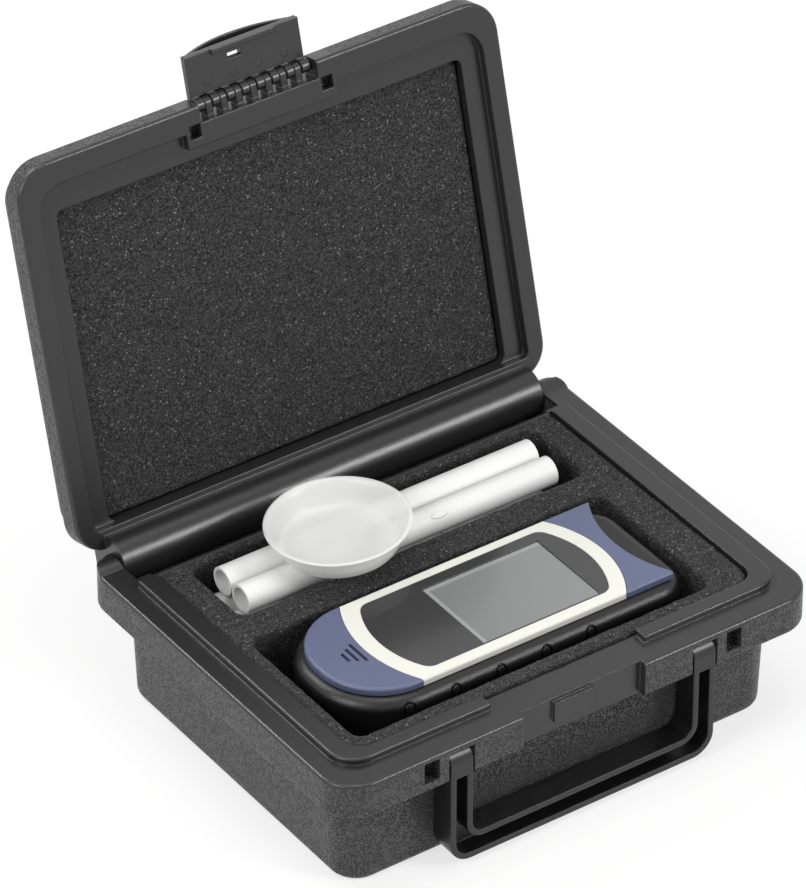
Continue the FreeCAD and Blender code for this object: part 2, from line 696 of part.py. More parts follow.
def handle():
    z0 = HANDLE_FLOOR_GAP
    z1 = z0 + HANDLE_BEAM
    y1 = FRONT_Y + HANDLE_DEPTH
    beam = box(-HANDLE_X, HANDLE_X, FRONT_Y, y1, z0, z1)
    shape = round_low_corners(beam, HANDLE_CORNER)
    for side in (-1, 1):
        shape = shape.fuse(handle_leg(side, 0, z1 - 1, FRONT_Y)).fuse(handle_gusset(side, z1))
    shape = shape.cut(handle_channel())
    for side in (-1, 1):
        mid = side * (HANDLE_X - HANDLE_LEG / 2)
        x0 = mid - HANDLE_LEG
        x1 = mid + HANDLE_LEG
        radius = HANDLE_PIN_RADIUS + PIN_CLEAR
        shape = shape.cut(rod_x(x0, x1, HANDLE_PIVOT_Y, HANDLE_PIVOT_Z, radius))
    return shape.removeSplitter()


def handle_pins():
    return Part.makeCompound([handle_pin_hole(-1), handle_pin_hole(1)])


# Foam


def tester_pocket():
    end = TESTER_LENGTH / 2 + TESTER_POCKET_END
    floor = TESTER_Z - FOAM_FIT
    x = TESTER_SHIFT
    return round_prism(x - end, x + end, POCKET_FRONT, POCKET_REAR, [4.0] * 4, floor, FOAM_TOP + 1)


def base_foam():
    x = CAVITY_X - FOAM_FIT
    radii = [2.0, 2.0, CAVITY_RADIUS, CAVITY_RADIUS]
    y0 = CAVITY_FRONT + FOAM_FIT
    block = round_prism(-x, x, y0, CAVITY_REAR - FOAM_FIT, radii, FLOOR, FOAM_TOP)
    half = TUBE_LENGTH / 2 + SLOT_END
    slot = round_prism(-half, half, SLOT_FRONT, SLOT_REAR, [4.0] * 4, SLOT_FLOOR, FOAM_TOP + 1)
    return block.cut(tester_pocket()).cut(slot)


def lid_foam():
    """Glued in the lid, with room over the cup so that the lid shuts."""
    x = LID_CAVITY_X - FOAM_FIT
    y0 = LID_CAVITY_FRONT + FOAM_FIT
    y1 = LID_CAVITY_REAR - FOAM_FIT
    top = LID_TOP_Z - LID_TOP_WALL
    face = RIM_Z + LID_FOAM_FACE
    foam = round_prism(-x, x, y0, y1, [LID_CAVITY_RADIUS] * 4, face, top)
    radius = CUP_RIM_RADIUS + CUP_RIM_BEAD + LID_FOAM_RELIEF
    roof = CUP_Z + CUP_DEPTH + LID_FOAM_RELIEF + CUP_RIM_RADIUS * math.radians(CUP_TILT)
    return open_lid(foam.cut(rod_z(CUP_X, CUP_Y, face - 1, roof, radius)))


# Tester, drawn with its own underside at zero


def tester_outline(inset, x1, z0, z1):
    half = TESTER_LENGTH / 2
    y = TESTER_WIDTH / 2 - inset
    nose = NOSE_RADIUS - inset
    tail = TAIL_RADIUS - inset
    radii = [tail, nose - FAR_SLIM, nose, tail]
    return round_prism(-half + inset, x1 - inset, -y, y - FAR_SLIM, radii, z0, z1)


def top_outline(x1, z0, z1):
    """Plan of the top plate, with tips at the tail."""
    x0 = TOP_INSET - TESTER_LENGTH / 2
    y = TESTER_WIDTH / 2 - TOP_INSET
    nose = NOSE_RADIUS - TOP_INSET
    return round_prism(x0, x1, -y, y, [TIP_RADIUS, nose, nose, TIP_RADIUS], z0, z1)


def front_boss_places():
    return [(-SHELL_BOSS_FRONT, side * SHELL_BOSS_FRONT_Y) for side in (-1, 1)]


def rear_boss_places():
    return [(SHELL_BOSS_REAR, side * SHELL_BOSS_REAR_Y) for side in (-1, 1)]


def board_boss_places():
    return [(sx * BOARD_BOSS_X, sy * BOARD_BOSS_Y) for sx in (-1, 1) for sy in (-1, 1)]


def cover_screw_places():
    x = COVER_LENGTH / 2 - COVER_LEDGE / 2
    return [(BATTERY_X - x, 0.0), (BATTERY_X + x, 0.0)]


def shell_body(inset):
    """Outside of the lower shell, with a soft shoulder, shrunk all round by inset."""
    body = tester_outline(inset, TESTER_LENGTH / 2, inset, SHOULDER - inset)
    body = body.makeFillet(SHELL_ROUND - inset, edges_at_z(body, inset))
    return body.makeFillet(SHOULDER_ROUND - inset, edges_at_z(body, SHOULDER - inset))


def arch_block(x, radius, leg, y0, y1):
    z = SHOULDER - ARCH_DROP - ARCH_RADIUS
    return rod_y(x, y0, y1, z, radius).fuse(box(x - radius, x + radius, y0, y1, z - leg, z))


def grip_arch(x):
    y0 = -TESTER_WIDTH / 2 - 1
    y1 = y0 + SHOULDER_ROUND + 3
    arch = arch_block(x, ARCH_RADIUS, ARCH_LEG, y0, y1)
    return arch.cut(arch_block(x, ARCH_RADIUS - ARCH_GROOVE, ARCH_LEG + 1, y0 - 1, y1 + 1))


def battery_cover_plate(grow, thick):
    x = COVER_LENGTH / 2 + grow
    y = COVER_WIDTH / 2 + grow
    return round_prism(BATTERY_X - x, BATTERY_X + x, -y, y, [3.0] * 4, 0, thick)


def lower_shell():
    half = TESTER_LENGTH / 2
    shell = shell_body(0)
    skin = shell.cut(shell_body(ARCH_DEPTH))
    shell = shell.cut(tester_outline(SHELL_WALL, half, SHELL_FLOOR, PARTING))
    mouth = tester_outline(RIM_INSET, half, PARTING - 1, SHOULDER + 1)
    ahead = box(-half, half - DOME_LENGTH, -TESTER_WIDTH, TESTER_WIDTH, 0, 2 * SHOULDER)
    shell = shell.cut(mouth.common(ahead))
    for x, y in front_boss_places():
        shell = shell.fuse(rod_z(x, y, SHELL_FLOOR - 1, PARTING, BOSS_RADIUS))
    for x, y in rear_boss_places():
        shell = shell.fuse(rod_z(x, y, SHELL_FLOOR - 1, SHOULDER - 1, BOSS_RADIUS))
    for x, y in board_boss_places():
        shell = shell.fuse(rod_z(x, y, SHELL_FLOOR - 1, BOARD_SEAT, BOSS_RADIUS))
    shell = shell.cut(battery_cover_plate(COVER_CLEAR, COVER_THICK))
    shell = shell.cut(battery_cover_plate(-COVER_LEDGE, SHELL_FLOOR + 1))
    for screw in all_shell_screws():
        shell = shell.cut(screw)
    for place in front_boss_places() + rear_boss_places():
        shell = shell.cut(screw_well(place))
    for place in board_boss_places():
        shell = shell.cut(board_screw(place))
    for x, y in cover_screw_places():
        shell = shell.cut(rod_z(x, y, 0, SHELL_FLOOR + 1, SCREW_RADIUS))
    inlet_x = half - SHELL_WALL - 1
    shell = shell.cut(rod_x(inlet_x, half + 1, 0, INLET_HEIGHT, INLET_BORE))
    shell = shell.cut(rod_y(BUTTON_X, 0, TESTER_WIDTH, button_height(), BUTTON_RADIUS + BUTTON_CLEAR))
    middle = (ARCH_COUNT - 1) / 2
    for i in range(ARCH_COUNT):
        shell = shell.cut(grip_arch(ARCH_SHIFT + (i - middle) * ARCH_PITCH).common(skin))
    return place_in_tester(shell.removeSplitter())


def tester_top():
    """Plate that shows, on a rim that stands inside the lower shell."""
    half = TESTER_LENGTH / 2
    tail = half - TAIL_SETBACK
    top = top_outline(tail, SHOULDER + SEAM, TESTER_HEIGHT)
    top = top.makeFillet(TOP_ROUND, edges_at_z(top, TESTER_HEIGHT))
    inset = RIM_INSET + SEAM
    core_end = half - DOME_LENGTH - SEAM
    core = tester_outline(inset, core_end + inset, PARTING + SEAM, SHOULDER + 1)
    hollow = tester_outline(inset + CAP_WALL, core_end + inset, PARTING - 1, TOP_Z)
    return top.fuse(core).cut(hollow)


def seam_disc(chord_x, sagitta, direction, shrink):
    """Upright disc whose arc runs through the chord ends and bulges outward by the sagitta."""
    half = TESTER_WIDTH / 2 - TOP_INSET
    radius = (half**2 + sagitta**2) / (2 * sagitta)
    centre = direction * (chord_x + sagitta - radius)
    return rod_z(centre, 0, PARTING - 5, TESTER_HEIGHT + 5, radius - shrink)


def tester_half(side):
    x0 = min(0, side * TESTER_LENGTH)
    return box(x0, x0 + TESTER_LENGTH, -TESTER_WIDTH, TESTER_WIDTH, 0, 2 * TESTER_HEIGHT)


def bezel():
    left = seam_disc(BEZEL_LEFT, BEZEL_LEFT_SAG, -1, SEAM).common(tester_half(-1))
    right = seam_disc(BEZEL_RIGHT, BEZEL_RIGHT_SAG, 1, SEAM).common(tester_half(1))
    shape = tester_top().common(left.fuse(right)).removeSplitter()
    shape = shape.cut(window_plate(0.1, 1.0))
    shape = shape.cut(lcd_face(0.3, TESTER_HEIGHT + 1))
    return place_in_tester(shape)


def cap_posts(places, low):
    posts = [rod_z(x, y, low + SEAM, TOP_Z + 0.5, BOSS_RADIUS) for x, y in places]
    return posts[0].fuse(posts[1])


def speaker_slot(index):
    x = SPEAKER_X + (index - 1) * SPEAKER_SLOT_PITCH
    half = SPEAKER_SLOTS[2 - index] / 2
    wide = SPEAKER_SLOT_WIDTH / 2
    return box(x - wide, x + wide, -half, half, TOP_Z - 1, TESTER_HEIGHT + 1)


def front_cap():
    shape = tester_top().common(tester_half(-1))
    shape = shape.cut(seam_disc(BEZEL_LEFT, BEZEL_LEFT_SAG, -1, 0))
    shape = shape.fuse(cap_posts(front_boss_places(), PARTING))
    for i in range(len(SPEAKER_SLOTS)):
        shape = shape.cut(speaker_slot(i))
    for screw in all_shell_screws():
        shape = shape.cut(screw)
    return place_in_tester(shape)


def rear_cap():
    shape = tester_top().common(tester_half(1))
    shape = shape.cut(seam_disc(BEZEL_RIGHT, BEZEL_RIGHT_SAG, 1, 0))
    tail = TESTER_LENGTH / 2 - TAIL_SETBACK
    scoop_x = tail - SCOOP_DEPTH + SCOOP_RADIUS
    shape = shape.cut(rod_z(scoop_x, 0, 0, 2 * TESTER_HEIGHT, SCOOP_RADIUS))
    shape = shape.fuse(cap_posts(rear_boss_places(), SHOULDER))
    for screw in all_shell_screws():
        shape = shape.cut(screw)
    return place_in_tester(shape)


def window_end(direction, apex, y):
    """Upright disc whose arc rounds one end of the window."""
    radius = (y**2 + WINDOW_SAG**2) / (2 * WINDOW_SAG)
    return rod_z(direction * (apex - radius), 0, 0, 2 * TESTER_HEIGHT, radius)


def window_plate(grow, above):
    y = WINDOW_HALF + grow
    left = WINDOW_LEFT + grow
    right = WINDOW_RIGHT + grow
    low = TESTER_HEIGHT - WINDOW_THICK
    front = box(-left, 0, -y, y, low, TESTER_HEIGHT + above).common(window_end(-1, left, y))
    rear = box(0, right, -y, y, low, TESTER_HEIGHT + above).common(window_end(1, right, y))
    plate = front.fuse(rear).removeSplitter()
    corners = [e for e in plate.Edges if e.BoundBox.ZLength > 0.5]
    return plate.makeFillet(WINDOW_RADIUS, corners)


def lcd_face(grow, top):
    x = LCD_LENGTH / 2 + grow
    y = LCD_WIDTH / 2 + grow
    return box(LCD_CENTRE - x, LCD_CENTRE + x, LCD_SIDE - y, LCD_SIDE + y, TOP_Z - 1, top)


def window_panel():
    return place_in_tester(window_plate(0, -0.1).cut(lcd_face(0.1, TESTER_HEIGHT + 1)))


def lcd_module():
    x = LCD_LENGTH / 2 + LCD_BORDER
    y = LCD_WIDTH / 2 + LCD_BORDER
    top = TOP_Z - 0.2
    body = box(LCD_CENTRE - x, LCD_CENTRE + x, LCD_SIDE - y, LCD_SIDE + y, top - LCD_BODY, top)
    return place_in_tester(body.fuse(lcd_face(0, TESTER_HEIGHT - LCD_SUNK)).removeSplitter())


def main_board():
    x = BOARD_LENGTH / 2
    y = BOARD_WIDTH / 2
    board = box(-x, x, -y, y, BOARD_SEAT, BOARD_SEAT + BOARD_THICK)
    for place in board_boss_places():
        board = board.cut(board_screw(place))
    return place_in_tester(board)


def board_screw(place):
    x, y = place
    top = BOARD_SEAT + BOARD_THICK
    head = rod_z(x, y, top, top + SCREW_HEAD, SCREW_HEAD_RADIUS)
    return rod_z(x, y, top - 7, top, SCREW_RADIUS).fuse(head)


def board_screws():
    return place_in_tester(Part.makeCompound([board_screw(place) for place in board_boss_places()]))


def shell_screw(place, top):
    """Driven up from the underside, with its head sunk in the floor."""
    x, y = place
    head = rod_z(x, y, SCREW_SUNK, SCREW_SUNK + SCREW_HEAD, SCREW_HEAD_RADIUS)
    return head.fuse(rod_z(x, y, SCREW_SUNK, top, SCREW_RADIUS))


def all_shell_screws():
    front = [shell_screw(place, PARTING + SCREW_BITE) for place in front_boss_places()]
    rear = [shell_screw(place, SHOULDER + SCREW_BITE) for place in rear_boss_places()]
    return front + rear


def screw_well(place):
    x, y = place
    return rod_z(x, y, -1, SCREW_SUNK, SCREW_HEAD_RADIUS)


def shell_screws():
    return place_in_tester(Part.makeCompound(all_shell_screws()))


def cover_screw(place):
    x, y = place
    head = rod_z(x, y, 0.1, COVER_THICK - 0.5, SCREW_HEAD_RADIUS)
    return head.fuse(rod_z(x, y, 0.1, SHELL_FLOOR + 0.4, SCREW_RADIUS))


def cover_screws():
    return place_in_tester(Part.makeCompound([cover_screw(place) for place in cover_screw_places()]))


def battery_cover():
    cover = battery_cover_plate(0, COVER_THICK - 0.1)
    for x, y in cover_screw_places():
        cover = cover.cut(rod_z(x, y, -1, COVER_THICK - 0.5, SCREW_HEAD_RADIUS + 0.1))
        cover = cover.cut(rod_z(x, y, -1, COVER_THICK + 1, SCREW_RADIUS + 0.1))
    return place_in_tester(cover)


def battery_height():
    return COVER_THICK + BATTERY_RADIUS + 0.2


def battery(side):
    y = side * (BATTERY_RADIUS + BATTERY_GAP / 2)
    x0 = BATTERY_X - BATTERY_LENGTH / 2
    can = rod_x(x0, x0 + BATTERY_LENGTH - 1, y, battery_height(), BATTERY_RADIUS)
    nub = rod_x(x0, x0 + BATTERY_LENGTH, y, battery_height(), BATTERY_RADIUS / 3)
    return can.fuse(nub)


def batteries():
    return place_in_tester(Part.makeCompound([battery(-1), battery(1)]))


def battery_contact(side):
    """Sprung plate at one end of a cell, flat plate at the other, both standing on the floor."""
    y = side * (BATTERY_RADIUS + BATTERY_GAP / 2)
    half = BATTERY_RADIUS - 1
    x0 = BATTERY_X - BATTERY_LENGTH / 2 - SPRING_LENGTH - 0.2
    x1 = BATTERY_X + BATTERY_LENGTH / 2 + 0.2
    top = battery_height() + BATTERY_RADIUS
    sprung = box(x0 - CONTACT_THICK, x0, y - half, y + half, SHELL_FLOOR + 0.1, top)
    coil = rod_x(x0, x0 + SPRING_LENGTH, y, battery_height(), SPRING_RADIUS)
    coil = coil.cut(rod_x(x0, x0 + SPRING_LENGTH, y, battery_height(), SPRING_RADIUS - 0.7))
    flat = box(x1, x1 + CONTACT_THICK, y - half, y + half, SHELL_FLOOR + 0.1, top)
    return [sprung.fuse(coil), flat]


def battery_contacts():
    return place_in_tester(Part.makeCompound(battery_contact(-1) + battery_contact(1)))


def fuel_cell():
    top = BOARD_SEAT - 0.1
    return place_in_tester(rod_z(CELL_X, CELL_Y, top - CELL_HEIGHT, top, CELL_RADIUS))


def sampling_pump():
    z = BOARD_SEAT - PUMP_RADIUS - 0.1
    x0 = CELL_X - PUMP_LENGTH / 2
    return place_in_tester(rod_x(x0, x0 + PUMP_LENGTH, PUMP_Y, z, PUMP_RADIUS))


def breath_inlet():
    """Socket behind the tail wall that a mouthpiece tube plugs into."""
    x1 = TESTER_LENGTH / 2 - SHELL_WALL - 0.1
    socket = rod_x(x1 - INLET_LENGTH, x1, 0, INLET_HEIGHT, INLET_OUTER)
    return place_in_tester(socket.cut(rod_x(x1 - INLET_LENGTH + 1.5, x1, 0, INLET_HEIGHT, INLET_BORE)))


def speaker():
    top = TOP_Z - 0.1
    return place_in_tester(rod_z(SPEAKER_X + 4, 0, top - SPEAKER_THICK, top, SPEAKER_RADIUS))


def button_height():
    return PARTING - BUTTON_RADIUS - 3.5


def power_button():
    """Round button on the far side; its flange inside the wall keeps it in."""
    wall = TESTER_WIDTH / 2 - FAR_SLIM
    inner = wall - SHELL_WALL - 0.1
    stem = rod_y(BUTTON_X, inner - 0.1, wall + BUTTON_OUT, button_height(), BUTTON_RADIUS)
    flange = rod_y(BUTTON_X, inner - BUTTON_FLANGE, inner, button_height(), BUTTON_RADIUS + 1)
    return place_in_tester(stem.fuse(flange).removeSplitter())


# Accessories


def mouthpiece(y, z, start):
    x0 = -TUBE_LENGTH / 2 + start
    tube = rod_x(x0, x0 + TUBE_LENGTH, y, z, TUBE_RADIUS)
    return tube.cut(rod_x(x0 - 1, x0 + TUBE_LENGTH + 1, y, z, TUBE_BORE))


def sampling_cup():
    top = CUP_Z + CUP_DEPTH
    place = Vec(CUP_X, CUP_Y, CUP_Z)
    outer = Part.makeCone(CUP_BASE_RADIUS, CUP_RIM_RADIUS, CUP_DEPTH, place)
    flare = (CUP_RIM_RADIUS - CUP_BASE_RADIUS) / CUP_DEPTH
    low = CUP_BASE_RADIUS - CUP_WALL + flare * CUP_FLOOR
    mouth = CUP_RIM_RADIUS - CUP_WALL
    floor = place + Vec(0, 0, CUP_FLOOR)
    inner = Part.makeCone(low, mouth, CUP_DEPTH - CUP_FLOOR, floor)
    rim_low = top - CUP_RIM_BEAD
    rim = rod_z(CUP_X, CUP_Y, rim_low, top, CUP_RIM_RADIUS + CUP_RIM_BEAD)
    cup = outer.fuse(rim).cut(inner)
    cup = cup.cut(rod_z(CUP_X, CUP_Y, rim_low, top + 1, mouth)).removeSplitter()
    toward_x, toward_y = CUP_TILT_TOWARD
    cup.rotate(place, Vec(-toward_y, toward_x, 0), CUP_TILT)
    cup.translate(Vec(0, 0, CUP_BASE_RADIUS * math.radians(CUP_TILT)))
    return cup


def tube_parts():
    places = (
        ("mouthpiece_upper_rear", TUBE_REAR_Y, TUBE_UPPER_Z),
        ("mouthpiece_upper_front", TUBE_FRONT_Y, TUBE_UPPER_Z),
        ("mouthpiece_lower_rear", TUBE_REAR_Y, TUBE_LOWER_Z),
        ("mouthpiece_lower_front", TUBE_FRONT_Y, TUBE_LOWER_Z),
    )
    return {name: mouthpiece(y, z, start) for (name, y, z), start in zip(places, TUBE_END_STEPS)}


def all_parts():
    makers = (
        case_base, case_lid, hinge_pins, latch, latch_pin, handle, handle_pins, base_foam, lid_foam,
        lower_shell, front_cap, rear_cap, bezel, window_panel, lcd_module, main_board, board_screws,
        shell_screws, cover_screws, battery_cover, batteries, battery_contacts, fuel_cell,
        sampling_pump, breath_inlet, speaker, power_button, sampling_cup,
    )
    parts = {make.__name__: make() for make in makers}
    parts.update(tube_parts())
    return parts


def main():
    os.makedirs("parts", exist_ok=True)
    for name, shape in all_parts().items():
        shape.exportStep(os.path.join("parts", name + ".step"))
        bounds = shape.BoundBox
        print(name, len(shape.Solids), shape.isValid(), round(shape.Volume / 1000, 2), bounds)


main()
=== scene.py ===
import math

import bmesh
import bpy
from mathutils import Matrix, Vector, noise


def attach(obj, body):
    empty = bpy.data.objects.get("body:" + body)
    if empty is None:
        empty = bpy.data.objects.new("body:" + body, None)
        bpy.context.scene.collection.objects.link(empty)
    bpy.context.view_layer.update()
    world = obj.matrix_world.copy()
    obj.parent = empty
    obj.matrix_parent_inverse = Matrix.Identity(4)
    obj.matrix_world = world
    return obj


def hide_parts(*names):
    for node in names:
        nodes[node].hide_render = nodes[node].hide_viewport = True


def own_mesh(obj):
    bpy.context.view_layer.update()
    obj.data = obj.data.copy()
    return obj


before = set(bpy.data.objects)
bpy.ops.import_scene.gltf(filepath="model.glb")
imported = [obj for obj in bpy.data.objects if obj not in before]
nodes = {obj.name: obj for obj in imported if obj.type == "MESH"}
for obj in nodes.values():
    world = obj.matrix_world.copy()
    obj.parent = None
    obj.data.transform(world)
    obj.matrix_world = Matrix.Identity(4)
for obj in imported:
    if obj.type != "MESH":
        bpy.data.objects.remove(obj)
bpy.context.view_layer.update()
mm = 0.001
weldGap = 0.002 * mm
print("frame loaded:", len(nodes), "nodes")

# The lid stands open at rest; these put a place of the closed lid where it is then
lidHinge = {"y": 73.0, "z": 48.1, "open": 104.3}
lidTurn = math.radians(lidHinge["open"])
lidUp = Vector((0, math.sin(lidTurn), math.cos(lidTurn)))
lidBack = Vector((0, math.cos(lidTurn), -math.sin(lidTurn)))
hingePoint = Vector((0, lidHinge["y"], lidHinge["z"])) * mm
openLid = (
    Matrix.Translation(hingePoint)
    @ Matrix.Rotation(-lidTurn, 4, "X")
    @ Matrix.Translation(-hingePoint)
)


def hexColour(code):
    parts = [int(code[i:i + 2], 16) / 255 for i in (1, 3, 5)]
    return [c / 12.92 if c <= 0.04045 else ((c + 0.055) / 1.055) ** 2.4 for c in parts] + [1.0]


def addNode(tree, kind, inputs=None, **settings):
    node = tree.nodes.new(kind)
    for name, value in settings.items():
        setattr(node, name, value)
    for key, value in (inputs or {}).items():
        if isinstance(value, bpy.types.NodeSocket):
            tree.links.new(value, node.inputs[key])
        else:
            node.inputs[key].default_value = value
    return node


def newMaterial(name, **shaderInputs):
    material = bpy.data.materials.new(name)
    material.use_nodes = True
    tree = material.node_tree
    shader = tree.nodes["Principled BSDF"]
    for key, value in shaderInputs.items():
        shader.inputs[key.replace("_", " ")].default_value = value
    place = addNode(tree, "ShaderNodeTexCoord").outputs["Object"]
    return material, tree, shader, place


edgeRays = 6


def linkBump(tree, shader, height, strength, distance, edge):
    # rounded edges in the light, with the fine relief on top
    inputs = {"Height": height, "Strength": strength, "Distance": distance * mm}
    if edge:
        inputs["Normal"] = addNode(tree, "ShaderNodeBevel", {"Radius": edge * mm}, samples=edgeRays).outputs[0]
    bump = addNode(tree, "ShaderNodeBump", inputs)
    tree.links.new(bump.outputs[0], shader.inputs["Normal"])


# Case plastic: polypropylene moulded black, leather grain outside and smooth satin on the rims.
# The creases are painted near black as shade, and the lands catch the light. The grain is drawn a little
# larger than it is, to show.
casePlastic = {
    "land": "#3f3f40", "creaseShade": "#040405", "satin": "#262627", "ior": 1.49,
    "grain": 1.3, "wander": 1.1, "bend": 1.0, "patch": 1.9, "patchLow": 0.35, "patchHigh": 0.65,
    "creaseThin": 0.02, "creaseWide": 0.26, "fine": 0.35, "fineShare": 0.10,
    "relief": 0.6, "strength": 0.9, "edge": 0.8, "satinRough": 0.22, "grainRough": 0.38,
}
# where the grain ends, on the base and on the closed lid
grainEdge = {
    "panelHalf": 26.0, "panelFront": -74.5, "panelBottom": 36.5, "baseTop": 51.9,
    "lidSide": 94.0, "lidFront": -71.8, "lidTop": 64.0, "lidLip": 54.5, "latchHalf": 32.0,
}


def baseGrainMask(tree, place):
    # below the rim, apart from the catch panel
    x, y, z = addNode(tree, "ShaderNodeSeparateXYZ", {0: place}).outputs
    side = addNode(tree, "ShaderNodeMath", {0: x}, operation="ABSOLUTE").outputs[0]
    middle, front, upper, below = [
        addNode(tree, "ShaderNodeMath", {0: value, 1: grainEdge[edge] * mm}, operation=test).outputs[0]
        for value, edge, test in (
            (side, "panelHalf", "LESS_THAN"), (y, "panelFront", "LESS_THAN"),
            (z, "panelBottom", "GREATER_THAN"), (z, "baseTop", "LESS_THAN"))]
    panel = addNode(tree, "ShaderNodeMath", {0: middle, 1: front}, operation="MULTIPLY").outputs[0]
    panel = addNode(tree, "ShaderNodeMath", {0: panel, 1: upper}, operation="MULTIPLY").outputs[0]
    return addNode(tree, "ShaderNodeMath", {0: below, 1: panel}, operation="SUBTRACT").outputs[0]


def lidGrainMask(tree, place):
    # the outside of the lid, in the closed lid's own directions
    upZero = lidUp.dot(hingePoint) - lidHinge["z"] * mm
    backZero = lidBack.dot(hingePoint) - lidHinge["y"] * mm
    up, back = [
        addNode(tree, "ShaderNodeVectorMath", {0: place, 1: way}, operation="DOT_PRODUCT").outputs["Value"]
        for way in (lidUp, lidBack)]
    x = addNode(tree, "ShaderNodeSeparateXYZ", {0: place}).outputs[0]
    side = addNode(tree, "ShaderNodeMath", {0: x}, operation="ABSOLUTE").outputs[0]
    wide, beside, front, top, above = [
        addNode(tree, "ShaderNodeMath", {0: value, 1: zero + grainEdge[edge] * mm}, operation=test).outputs[0]
        for value, zero, edge, test in (
            (side, 0, "lidSide", "GREATER_THAN"), (side, 0, "latchHalf", "GREATER_THAN"),
            (back, backZero, "lidFront", "LESS_THAN"), (up, upZero, "lidTop", "GREATER_THAN"),
            (up, upZero, "lidLip", "GREATER_THAN"))]
    outside = front
    for other, join in ((beside, "MULTIPLY"), (wide, "MAXIMUM"), (top, "MAXIMUM"), (above, "MULTIPLY")):
        outside = addNode(tree, "ShaderNodeMath", {0: outside, 1: other}, operation=join).outputs[0]
    return outside


def makeCasePlastic(name, grainMask):
    look = casePlastic
    material, tree, shader, place = newMaterial(name, IOR=look["ior"])
    wander = addNode(tree, "ShaderNodeTexNoise", {
        "Vector": place, "Scale": 1 / (look["wander"] * mm), "Detail": 1.0})
    shift = addNode(tree, "ShaderNodeVectorMath", {
        0: wander.outputs["Color"], 1: (look["bend"] * mm,) * 3, 2: place}, operation="MULTIPLY_ADD")
    pebbles = addNode(tree, "ShaderNodeTexVoronoi", {
        "Vector": shift.outputs[0], "Scale": 1 / (look["grain"] * mm)}, feature="DISTANCE_TO_EDGE")
    patch = addNode(tree, "ShaderNodeTexNoise", {
        "Vector": place, "Scale": 1 / (look["patch"] * mm), "Detail": 2.0})
    crease = addNode(tree, "ShaderNodeMapRange", {
        "Value": patch.outputs[0], "From Min": look["patchLow"], "From Max": look["patchHigh"],
        "To Min": look["creaseThin"], "To Max": look["creaseWide"]})
    land = addNode(tree, "ShaderNodeMapRange", {
        "Value": pebbles.outputs["Distance"], "From Min": 0.0, "From Max": crease.outputs[0]}).outputs[0]
    mask = grainMask(tree, place)
    # the grain's creases take a painted shade, darker than the lands
    grainWithCreaseShade = addNode(tree, "ShaderNodeMix", {
        0: land, 6: hexColour(look["creaseShade"]), 7: hexColour(look["land"])}, data_type="RGBA")
    colour = addNode(tree, "ShaderNodeMix", {
        0: mask, 6: hexColour(look["satin"]), 7: grainWithCreaseShade.outputs[2]}, data_type="RGBA")
    tree.links.new(colour.outputs[2], shader.inputs["Base Color"])
    rough = addNode(tree, "ShaderNodeMapRange", {
        "Value": mask, "To Min": look["satinRough"], "To Max": look["grainRough"]})
    tree.links.new(rough.outputs[0], shader.inputs["Roughness"])
    satin = addNode(tree, "ShaderNodeTexNoise", {
        "Vector": place, "Scale": 1 / (look["fine"] * mm), "Detail": 1.0})
    flat = addNode(tree, "ShaderNodeMath", {0: satin.outputs[0], 1: look["fineShare"]}, operation="MULTIPLY")
    height = addNode(tree, "ShaderNodeMix", {0: mask, 2: flat.outputs[0], 3: land}, data_type="FLOAT")
    linkBump(tree, shader, height.outputs[0], look["strength"], look["relief"], look["edge"])
    return material


# Plain moulded plastics: one colour with soft flow marks, and the fine skin of a spark-eroded mould
mouldSkin = {"flow": 16.667, "depth": 0.1}


def makeMoulded(name, colour, shade, roughness, grit, relief, edge=0.4, **shaderInputs):
    material, tree, shader, place = newMaterial(name, Roughness=roughness, **shaderInputs)
    flow = addNode(tree, "ShaderNodeTexNoise", {
        "Vector": place, "Scale": 1 / (mouldSkin["flow"] * mm), "Detail": 2.0})
    tone = addNode(tree, "ShaderNodeMix", {
        0: flow.outputs[0], 6: hexColour(colour), 7: hexColour(shade)}, data_type="RGBA")
    tree.links.new(tone.outputs[2], shader.inputs["Base Color"])
    texture = addNode(tree, "ShaderNodeTexNoise", {
        "Vector": place, "Scale": 1 / (grit * mm), "Detail": 2.0})
    linkBump(tree, shader, texture.outputs[0], relief, mouldSkin["depth"], edge)
    return material


# Cut foam: charcoal open-cell polyether, dark cells, with a few cells painted pale as glints, a painted
# highlight where cell walls would catch the light.
# The cells are drawn coarser than real ones, which are too fine to show at the photo's distance.
foamLook = {
    "dark": "#0f0f0f", "light": "#484848", "paintedGlint": "#777777", "paintedGlintShare": 0.987,
    "cell": 0.48, "spread": 1.6, "rough": 0.85, "specular": 0.3, "strength": 0.8, "depth": 0.3,
}


def makeFoam(name):
    look = foamLook
    material, tree, shader, place = newMaterial(
        name, Roughness=look["rough"], Specular_IOR_Level=look["specular"])
    cells = addNode(tree, "ShaderNodeTexVoronoi", {"Vector": place, "Scale": 1 / (look["cell"] * mm)})
    random = addNode(tree, "ShaderNodeSeparateColor", {0: cells.outputs["Color"]})
    level = addNode(tree, "ShaderNodeMath", {0: random.outputs[0], 1: look["spread"]}, operation="POWER")
    base = addNode(tree, "ShaderNodeMix", {
        0: level.outputs[0], 6: hexColour(look["dark"]), 7: hexColour(look["light"])}, data_type="RGBA")
    # a few random cells painted pale: painted highlight glints
    spark = addNode(tree, "ShaderNodeMath", {
        0: random.outputs[1], 1: look["paintedGlintShare"]}, operation="GREATER_THAN")
    colour = addNode(tree, "ShaderNodeMix", {
        0: spark.outputs[0], 6: base.outputs[2], 7: hexColour(look["paintedGlint"])}, data_type="RGBA")
    tree.links.new(colour.outputs[2], shader.inputs["Base Color"])
    linkBump(tree, shader, cells.outputs["Distance"], look["strength"], look["depth"], 0)
    return material


# Display: grey liquid crystal cell behind glass, with a paler strip along two edges
displayLook = {
    "grey": "#767777", "pale": "#808282", "strip": "#929494", "stripWide": 1.8,
    "left": -16.3, "top": -6.45, "wide": 49.0, "rough": 0.16, "ior": 1.5,
}


